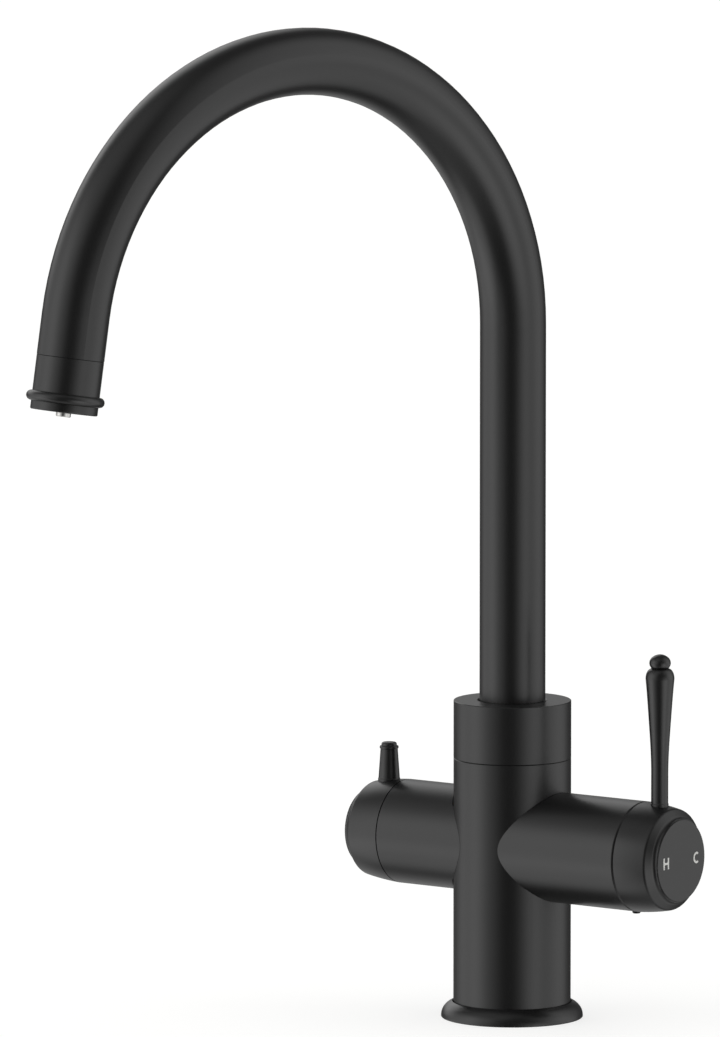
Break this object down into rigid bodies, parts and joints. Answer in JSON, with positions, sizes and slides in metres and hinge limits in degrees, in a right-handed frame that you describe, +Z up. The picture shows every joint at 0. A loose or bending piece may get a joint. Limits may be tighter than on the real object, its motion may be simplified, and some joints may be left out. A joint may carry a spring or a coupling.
{
  "type": "kitchen water tap",
  "caption": "Kitchen water tap with a high arched swivel spout, a mixer lever on one side arm and a filtered water lever on the other.",
  "frame": {"origin": "centre of the round opening in the base flange's underside, on the body's axis, at the deck's surface", "axes": "+Z up along the body's axis; +X along the mixer arm; -X along the filter arm; -Y towards the user. At rest the spout points to the front, turned 15 degrees towards -X"},
  "size_m": [0.1654, 0.2765, 0.428],
  "materials": {
    "black_coating": "satin black coating",
    "brass": "machined",
    "steel": "turned",
    "pipe_steel": "drawn tube",
    "black_steel": "blackened",
    "ceramic": "lapped",
    "rubber": "matt",
    "white_plastic": "moulded",
    "grey_plastic": "moulded"
  },
  "bodies": {
    "fixed_body": {"base_flange": "black_coating", "base_seal": "rubber", "tap_body": "black_coating", "top_collar": "black_coating", "lower_glide_ring": "white_plastic", "upper_glide_ring": "white_plastic", "spout_stop_screw": "black_steel", "filtered_stub": "brass", "stub_seal": "rubber", "mixer_housing": "brass", "mixer_sleeve": "black_coating", "sleeve_screw": "black_steel", "cartridge_base": "white_plastic", "cartridge_seals": "rubber", "fixed_disc": "ceramic", "cartridge_shell": "white_plastic", "cartridge_nut": "brass", "mixer_dome": "brass", "filter_housing": "brass", "filter_sleeve": "black_coating", "filter_headwork": "brass", "filter_seat_seal": "rubber", "filter_fixed_disc": "ceramic"},
    "spout": {"spout_hub": "brass", "spout_seals": "rubber", "spout_tube": "black_coating", "filtered_pipe": "pipe_steel", "outlet_collar": "black_coating", "aerator_seal": "rubber", "aerator": "grey_plastic", "filtered_nozzle": "steel"},
    "mixer_turret": {"cartridge_turret": "white_plastic", "pivot_pin": "steel"},
    "mixer_disc": {"moving_disc": "ceramic", "disc_carrier": "white_plastic"},
    "mixer_lever_set": {"cartridge_stem": "steel", "mixer_knob": "black_coating", "mixer_knob_screw": "steel", "mixer_lever": "black_coating", "mixer_face_plate": "black_coating"},
    "filter_valve": {"filter_spindle": "brass", "filter_moving_disc": "ceramic", "filter_knob": "black_coating", "filter_knob_screw": "steel", "filter_lever": "black_coating", "filter_face_plate": "black_coating"}
  },
  "joints": [
    {"name": "spout_swivel", "type": "hinge", "parent": "fixed_body", "child": "spout", "pos_m": [0, 0, 0.118], "axis": [0, 0, 1], "range_deg": [-134.95, 165.05]},
    {"name": "mixer_temperature", "type": "hinge", "parent": "fixed_body", "child": "mixer_turret", "pos_m": [0.05, 0, 0.0748], "axis": [1, 0, 0], "range_deg": [-45, 45]},
    {"name": "mixer_flow", "type": "hinge", "parent": "mixer_turret", "child": "mixer_lever_set", "pos_m": [0.05, 0, 0.0748], "axis": [0, 1, 0], "range_deg": [0, 16]},
    {"name": "mixer_disc_slide", "type": "slide", "parent": "mixer_turret", "child": "mixer_disc", "axis": [0, 0, 1], "range_m": [0, 0.0023]},
    {"name": "filter_turn", "type": "hinge", "parent": "fixed_body", "child": "filter_valve", "pos_m": [-0.05, 0, 0.0748], "axis": [1, 0, 0], "range_deg": [0, 90]}
  ],
  "couplings": [
    {"joint": "mixer_disc_slide", "follows": "mixer_flow", "m_per_rad": 0.008}
  ]
}
